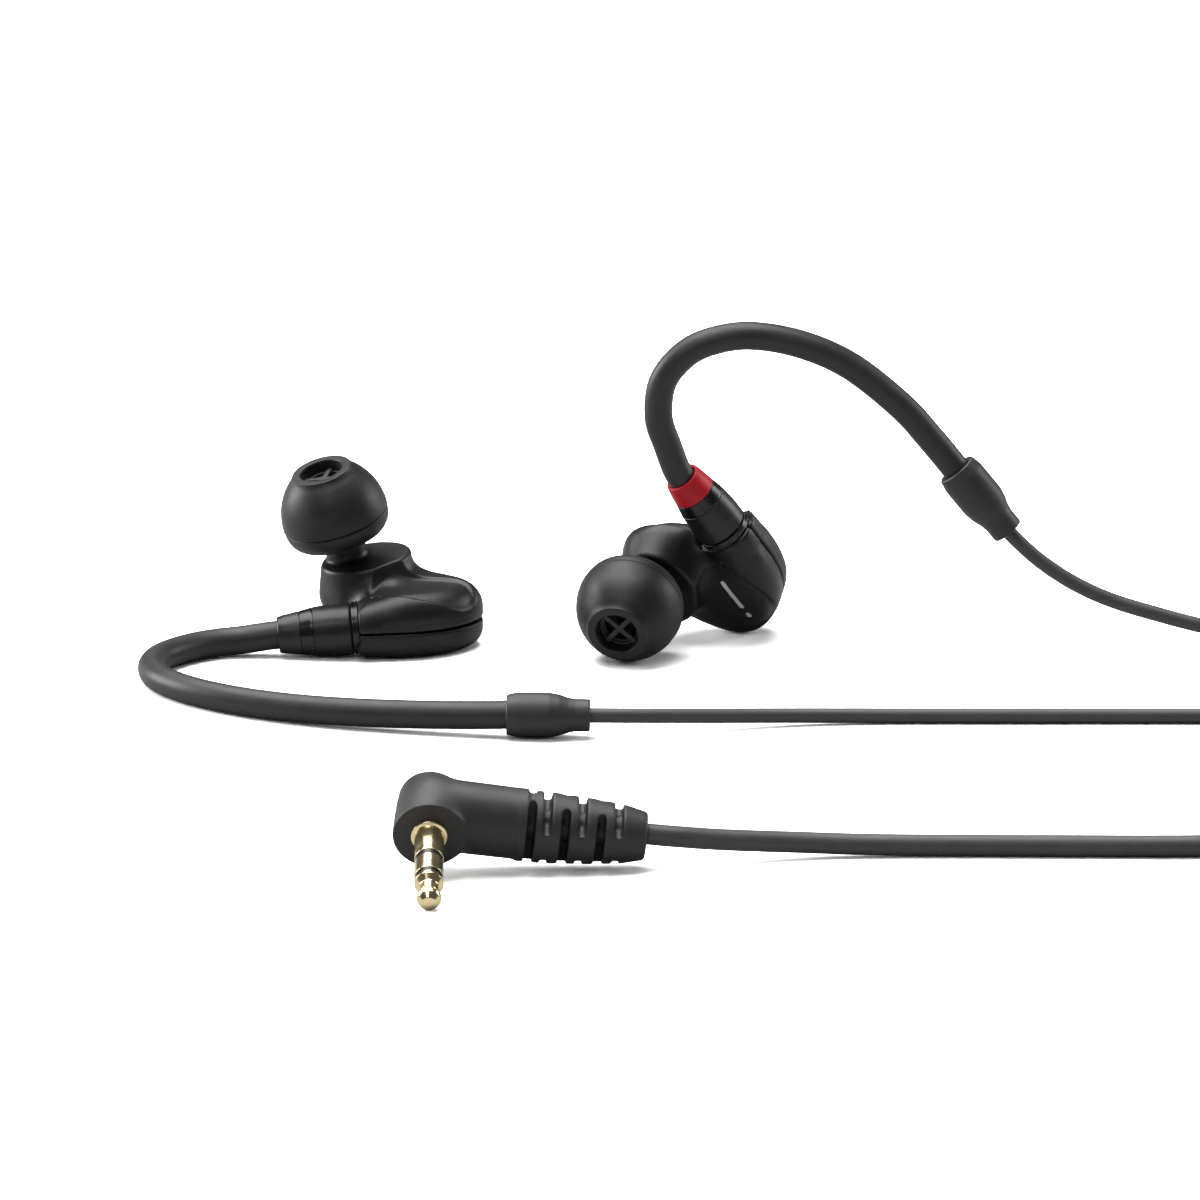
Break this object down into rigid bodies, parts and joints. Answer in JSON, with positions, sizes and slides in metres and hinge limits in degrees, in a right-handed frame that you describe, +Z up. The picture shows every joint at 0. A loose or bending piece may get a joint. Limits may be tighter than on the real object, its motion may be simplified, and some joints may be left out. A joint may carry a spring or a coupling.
{
  "type": "in-ear monitor headphones",
  "caption": "Wired in-ear monitors: detachable over-ear earpieces with ear tips, formed ear hooks, a Y cable with chin slider, and a right-angle jack plug.",
  "frame": {"origin": "on the table, in the middle of the two earpieces and their ear hooks", "axes": "+X to the right seen from the front, +Y away from the front, +Z up from the table; the plug lies at the front and the rest of the cable to the right"},
  "size_m": [0.1746, 0.1301, 0.0418],
  "materials": {
    "housing": "fine-grained satin black",
    "gloss": "polished black",
    "connector": "satin black",
    "silicone": "smooth matte black silicone",
    "grille": "matte dark grey cross",
    "acoustic_mesh": "dark woven mesh",
    "driver_frame": "plain machined",
    "driver_magnet": "nickel plated",
    "diaphragm": "thin film",
    "marker_left": "satin black",
    "marker_right": "satin red",
    "hook": "matte black shrink tube",
    "lead": "matte dark grey sheath",
    "main_lead": "matte dark grey sheath",
    "moulded_rubber": "moulded matte black",
    "strap": "woven black hook-and-loop strap",
    "insulator": "black insulating ring",
    "gold": "bright gold plating"
  },
  "bodies": {
    "cable_harness": {"connector_band_left": "gloss", "connector_body_left": "connector", "ear_tip_right": "silicone", "marker_ring_left": "marker_left", "ear_hook_left": "hook", "lead_left": "lead", "lead_right": "lead", "lead_coil_left": "lead", "lead_coil_right": "lead", "lead_tail_left": "lead", "lead_tail_right": "lead", "main_lead": "main_lead", "main_lead_head": "main_lead", "main_coil": "main_lead", "hook_sleeve_left": "moulded_rubber", "y_splitter": "moulded_rubber", "plug_body": "moulded_rubber", "lead_tie": "strap", "main_tie": "strap", "jack_insulator_1": "insulator", "jack_insulator_2": "insulator", "jack_sleeve": "gold", "jack_ring": "gold", "jack_tip": "gold", "contact_pin_1_left": "gold", "contact_pin_2_left": "gold"},
    "earpiece_left": {"front_shell_left": "housing", "rear_cover_left": "housing", "driver_frame_left": "driver_frame", "driver_magnet_left": "driver_magnet", "diaphragm_left": "diaphragm", "nozzle_mesh_left": "acoustic_mesh", "nozzle_grille_left": "grille", "socket_collar_left": "gloss", "socket_block_left": "connector"},
    "tip_left": {"ear_tip_left": "silicone"},
    "earpiece_right": {"front_shell_right": "housing", "rear_cover_right": "housing", "driver_frame_right": "driver_frame", "driver_magnet_right": "driver_magnet", "diaphragm_right": "diaphragm", "nozzle_mesh_right": "acoustic_mesh", "nozzle_grille_right": "grille", "socket_collar_right": "gloss", "socket_block_right": "connector"},
    "hook_right": {"connector_body_right": "connector", "connector_band_right": "gloss", "marker_ring_right": "marker_right", "contact_pin_1_right": "gold", "contact_pin_2_right": "gold", "ear_hook_right": "hook", "hook_sleeve_right": "moulded_rubber"},
    "slider": {"chin_slider": "moulded_rubber"}
  },
  "joints": [
    {"name": "earpiece_left_pull", "type": "slide", "parent": "cable_harness", "child": "earpiece_left", "axis": [0.9954, 0, 0.0958], "range_m": [0, 0.006]},
    {"name": "ear_tip_left_pull", "type": "slide", "parent": "earpiece_left", "child": "tip_left", "axis": [-0.2719, -0.1679, 0.9476], "range_m": [0, 0.009]},
    {"name": "ear_tip_right_pull", "type": "slide", "parent": "cable_harness", "child": "earpiece_right", "axis": [0.2587, 0.9137, 0.3134], "range_m": [0, 0.009]},
    {"name": "connector_right_pull", "type": "slide", "parent": "earpiece_right", "child": "hook_right", "axis": [-0.5468, -0.3089, 0.7782], "range_m": [0, 0.005]},
    {"name": "chin_slider_slide", "type": "slide", "parent": "cable_harness", "child": "slider", "axis": [0, 1, 0], "range_m": [0, 0.014]}
  ]
}
